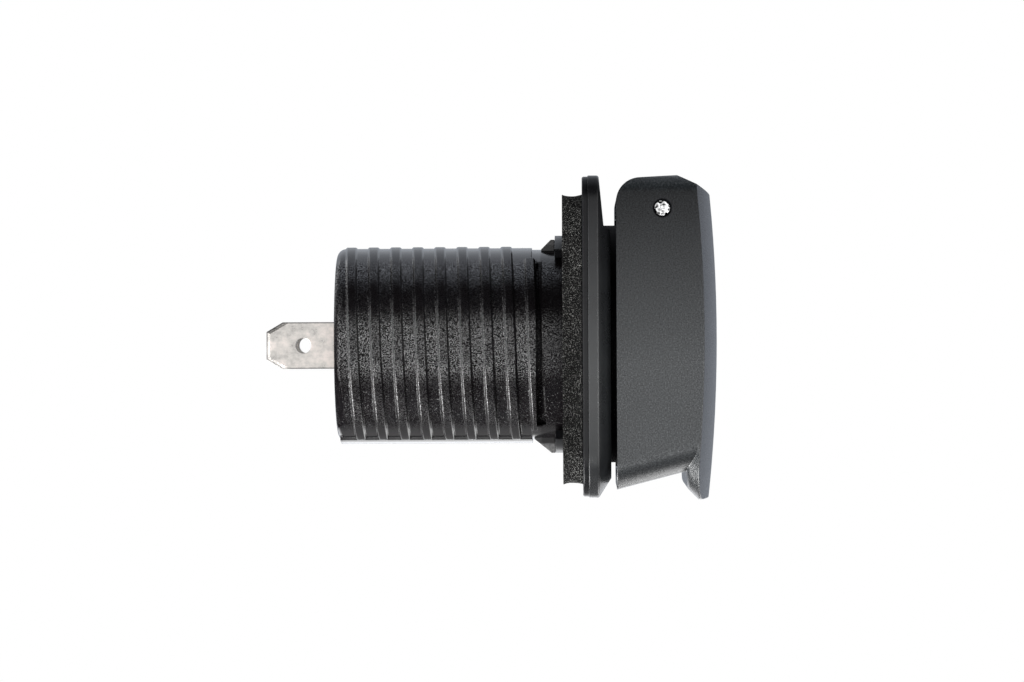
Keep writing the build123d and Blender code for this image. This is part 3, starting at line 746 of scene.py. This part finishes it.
def aimed(place, target):
    """Return the turn of a lamp or camera that looks from a place at a target."""
    return (Vector(target) - Vector(place)).to_track_quat("-Z", "Y")


def add_lamp(name, place, target, width, height, power):
    """Add a soft rectangular lamp that faces a target."""
    lamp = bpy.data.lights.new(name, "AREA")
    lamp.shape = "RECTANGLE"
    lamp.size = width
    lamp.size_y = height
    lamp.energy = power
    holder = add_object(name, lamp)
    holder.location = place
    holder.rotation_euler = aimed(place, target).to_euler()


def studio_lamps():
    """Large soft lamps round the part, and small ones for highlights and sparkle."""
    add_lamp("front_soft", (0.0, -1.0, -0.1), MIDDLE, width=2.5, height=1.4, power=15.0)
    add_lamp("under_key", (-0.25, -0.06, -0.28), MIDDLE, width=0.2, height=0.36, power=4.6)
    add_lamp("under_rear", (0.0, 0.9, -0.38), MIDDLE, width=1.6, height=0.4, power=3.4)
    add_lamp("left_strip", (-0.866, -0.5, 0.0), MIDDLE, width=0.66, height=1.4, power=7.0)
    add_lamp("right_strip", (0.866, -0.5, 0.0), MIDDLE, width=0.66, height=1.4, power=9.0)
    add_lamp("under_lid", (0.043, 0.03, -0.1), BEFORE_LID, width=0.036, height=0.1, power=0.046)
    add_lamp("rear_left", (-1.0, 0.7, 0.5), MIDDLE, width=0.9, height=0.9, power=3.2)
    add_lamp("rear_right", (0.8, 0.8, -0.9), MIDDLE, width=0.9, height=0.9, power=3.2)
    add_lamp("upper_left", (-0.26, -0.3, 0.447), MIDDLE, width=0.15, height=0.15, power=0.085)
    add_lamp("spark_left", (-0.42, -0.8, 0.12), MIDDLE, width=0.08, height=0.08, power=0.4)
    add_lamp("spark_right", (0.38, -0.82, -0.1), MIDDLE, width=0.08, height=0.08, power=0.4)
    add_lamp("spark_low", (-0.1, -0.8, -0.42), MIDDLE, width=0.08, height=0.08, power=0.4)


def background(sky, colour, strength):
    """Return a world shader of a colour and strength."""
    node = sky.add("ShaderNodeBackground")
    sky.feed(node.inputs["Color"], colour)
    sky.feed(node.inputs["Strength"], strength)
    return node.outputs["Background"]


def studio_world():
    """White behind the part, bands of light and dark in its reflections, and dim light on it."""
    world = bpy.data.worlds.new("studio")
    world.use_nodes = True
    bpy.context.scene.world = world
    sky = Shading(world.node_tree)
    sideways, backward, up = sky.parts(sky.add("ShaderNodeTexCoord").outputs["Generated"])
    rays = sky.add("ShaderNodeLightPath").outputs

    # Reflected bands, from straight behind by below, the front and above to behind again
    turn = sky.maths("ARCTAN2", up, sky.times(backward, -1.0))
    behind = (0.4, 0.43, 0.49)
    bands = sky.ramp(
        sky.fade(turn, (-math.pi, math.pi)),
        [
            (0.0, behind),
            (0.08, (0.85, 0.9, 1.0)),
            (0.12, (0.8, 0.86, 1.0)),
            (0.19, (0.6, 0.65, 0.76)),
            (0.23, 0.06),
            (0.33, 0.06),
            (0.4, 0.3),
            (0.57, 0.45),
            (0.6, 0.012),
            (0.72, 0.012),
            (0.745, (0.85, 0.9, 1.0)),
            (0.92, (0.87, 0.92, 1.0)),
            (1.0, behind),
        ],
    )
    dimmer_sideways = sky.spread(sky.absolute(sideways), (0.45, 0.85), (1.0, 0.12))
    mirror = background(sky, bands, dimmer_sideways)
    ambient = background(sky, (0.8, 0.8, 0.8, 1.0), 0.35)
    white = background(sky, (1.0, 1.0, 1.0, 1.0), 1.0)
    lighting = sky.mixed(rays["Is Glossy Ray"], ambient, mirror)
    seen = sky.largest(rays["Is Camera Ray"], rays["Is Transmission Ray"])
    sky.feed(sky.add("ShaderNodeOutputWorld").inputs["Surface"], sky.mixed(seen, lighting, white))


def white_floor():
    """Pale floor that is white where the camera sees it."""
    half = FLOOR_SIZE / 2
    corners = [(-half, -half), (half, -half), (half, half), (-half, half)]
    mesh = bpy.data.meshes.new("floor")
    mesh.from_pydata([(*corner, FLOOR_HEIGHT) for corner in corners], [], [(0, 1, 2, 3)])
    floor = add_object("floor", mesh)
    look = Look("floor_look")
    look.give("Base Color", look.ramp(look.noise(grains=3.0), [(0.3, 0.78), (0.7, 0.82)]))
    look.give("Roughness", 0.9)
    seen = look.add("ShaderNodeLightPath").outputs["Is Camera Ray"]
    glow = look.add("ShaderNodeEmission").outputs["Emission"]
    look.feed(look.surface, look.mixed(seen, look.shader.outputs["BSDF"], glow))
    mesh.materials.append(look.material)


def photo_camera():
    """Camera at the photograph's viewing angle."""
    lens = bpy.data.cameras.new("photo_camera")
    lens.lens = CAMERA_LENS
    lens.sensor_width = CAMERA_SENSOR
    lens.sensor_fit = "HORIZONTAL"
    lens.clip_start = CAMERA_NEAR
    lens.clip_end = CAMERA_FAR
    camera = add_object("photo_camera", lens)
    camera.location = CAMERA_PLACE
    roll = Quaternion((0.0, 0.0, 1.0), CAMERA_ROLL)
    camera.rotation_euler = (aimed(CAMERA_PLACE, CAMERA_AIM) @ roll).to_euler()
    bpy.context.scene.camera = camera


foam_pad()
spring_wire()
studio_lamps()
studio_world()
white_floor()
photo_camera()
bpy.context.scene.view_settings.view_transform = "Standard"
